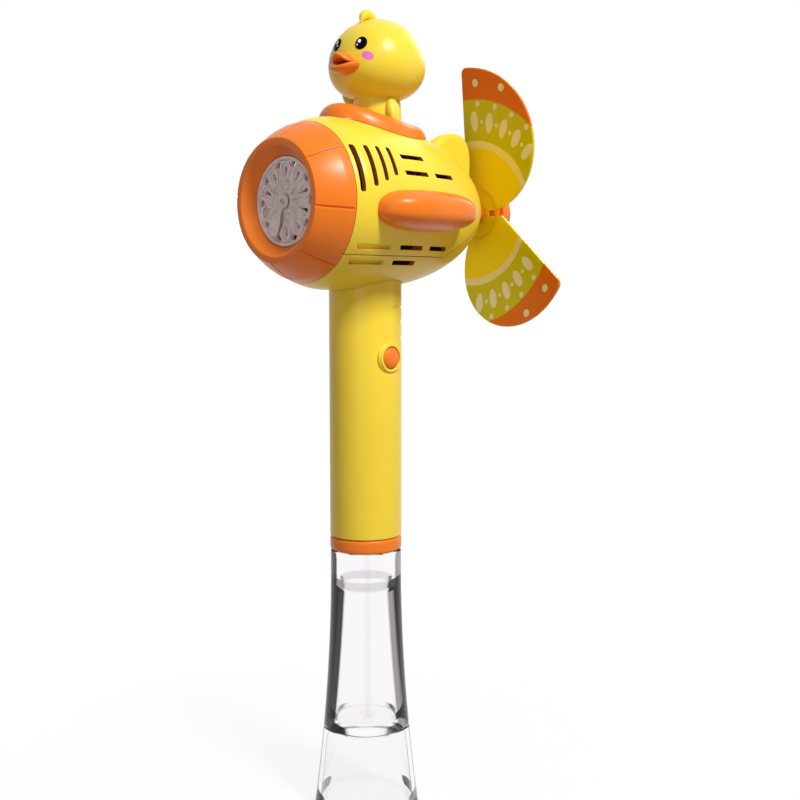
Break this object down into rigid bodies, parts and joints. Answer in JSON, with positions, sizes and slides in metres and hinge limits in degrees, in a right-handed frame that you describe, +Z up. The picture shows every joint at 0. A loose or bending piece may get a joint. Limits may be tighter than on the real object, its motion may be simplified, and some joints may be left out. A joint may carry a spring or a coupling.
{
  "type": "bubble windmill toy",
  "caption": "Toy aeroplane on a battery handle that blows bubbles from its nose, with a duck pilot, a tail windmill and a clear screw-on solution bottle to stand on.",
  "frame": {"origin": "centre of the flat underside of the bottle's foot, on the handle's axis", "axes": "+Z up along the handle, -Y the way the nose points, +X to the aeroplane's left wing"},
  "size_m": [0.1367, 0.1548, 0.3988],
  "materials": {
    "yellow_plastic": "satin moulded",
    "orange_plastic": "satin moulded",
    "clear_plastic": "polished clear",
    "clear_tube": "clear flexible",
    "soft_white": "matt",
    "smoke_plastic": "translucent",
    "white_plastic": "moulded",
    "black_plastic": "moulded",
    "board_green": "lacquered",
    "bright_steel": "drawn",
    "cell_can": "satin",
    "printed_sheet": "printed bands"
  },
  "bodies": {
    "main": {"screw_collar": "orange_plastic", "handle_tube": "yellow_plastic", "battery_door": "yellow_plastic", "battery_holder": "black_plastic", "contact_plate_low": "bright_steel", "contact_plate_high": "bright_steel", "cell_1": "cell_can", "cell_2": "cell_can", "cell_3": "cell_can", "cell_4": "cell_can", "circuit_board": "board_green", "tact_switch": "black_plastic", "solution_tube": "clear_tube", "tube_filter": "clear_tube", "fuselage_upper_shell": "yellow_plastic", "fuselage_lower_shell": "yellow_plastic", "tail_fin": "yellow_plastic", "nose_ring": "orange_plastic", "bubble_disc": "smoke_plastic", "pump_housing": "white_plastic", "front_bulkhead": "black_plastic", "rear_bulkhead": "black_plastic", "idler_pin": "bright_steel", "blower_motor": "bright_steel", "fan_shroud": "black_plastic", "wing_left": "orange_plastic", "wing_right": "orange_plastic", "cockpit_rim": "orange_plastic", "duck_body": "yellow_plastic", "duck_head": "yellow_plastic", "duck_tuft": "yellow_plastic", "duck_bill_upper": "orange_plastic", "duck_bill_lower": "orange_plastic", "duck_arm_left": "yellow_plastic", "duck_arm_right": "yellow_plastic", "tail_bush": "white_plastic"},
    "gasket": {"bottle_gasket": "soft_white"},
    "bottle": {"solution_bottle": "clear_plastic", "bottle_foot": "clear_plastic"},
    "button": {"power_button": "orange_plastic"},
    "rotor": {"motor_shaft": "bright_steel", "motor_pinion": "white_plastic", "fan_rotor": "black_plastic"},
    "idler": {"idler_gear": "white_plastic"},
    "wiper": {"wiper_shaft": "bright_steel", "wiper_gear": "white_plastic", "pump_rotor": "white_plastic", "wiper_paddle": "smoke_plastic"},
    "windmill": {"windmill_shaft": "bright_steel", "shaft_clip": "bright_steel", "hub_spacer": "orange_plastic", "windmill_hub": "orange_plastic", "windmill_blades": "printed_sheet"}
  },
  "joints": [
    {"name": "bottle_lower", "type": "slide", "parent": "main", "child": "gasket", "axis": [0, 0, -1], "range_m": [0, 0.009]},
    {"name": "bottle_unscrew", "type": "hinge", "parent": "gasket", "child": "bottle", "pos_m": [0, 0, 0.142], "axis": [0, 0, -1], "range_deg": [0, 812]},
    {"name": "button_press", "type": "slide", "parent": "main", "child": "button", "axis": [-1, 0, 0], "range_m": [0, 0.002], "stiffness_N_per_m": 300},
    {"name": "motor_spin", "type": "hinge", "parent": "main", "child": "rotor", "pos_m": [0, 0.02, 0.3042], "axis": [0, 1, 0], "continuous": true},
    {"name": "idler_spin", "type": "hinge", "parent": "main", "child": "idler", "pos_m": [0, -0.006, 0.3232], "axis": [0, 1, 0], "continuous": true},
    {"name": "wiper_spin", "type": "hinge", "parent": "main", "child": "wiper", "pos_m": [0, -0.03, 0.3042], "axis": [0, 1, 0], "continuous": true},
    {"name": "windmill_spin", "type": "hinge", "parent": "main", "child": "windmill", "pos_m": [0, 0.085, 0.3042], "axis": [0, 1, 0], "continuous": true}
  ],
  "couplings": [
    {"joint": "bottle_unscrew", "follows": "bottle_lower", "rad_per_m": 1570.8},
    {"joint": "idler_spin", "follows": "motor_spin", "ratio": -0.4},
    {"joint": "wiper_spin", "follows": "motor_spin", "ratio": 0.16}
  ]
}
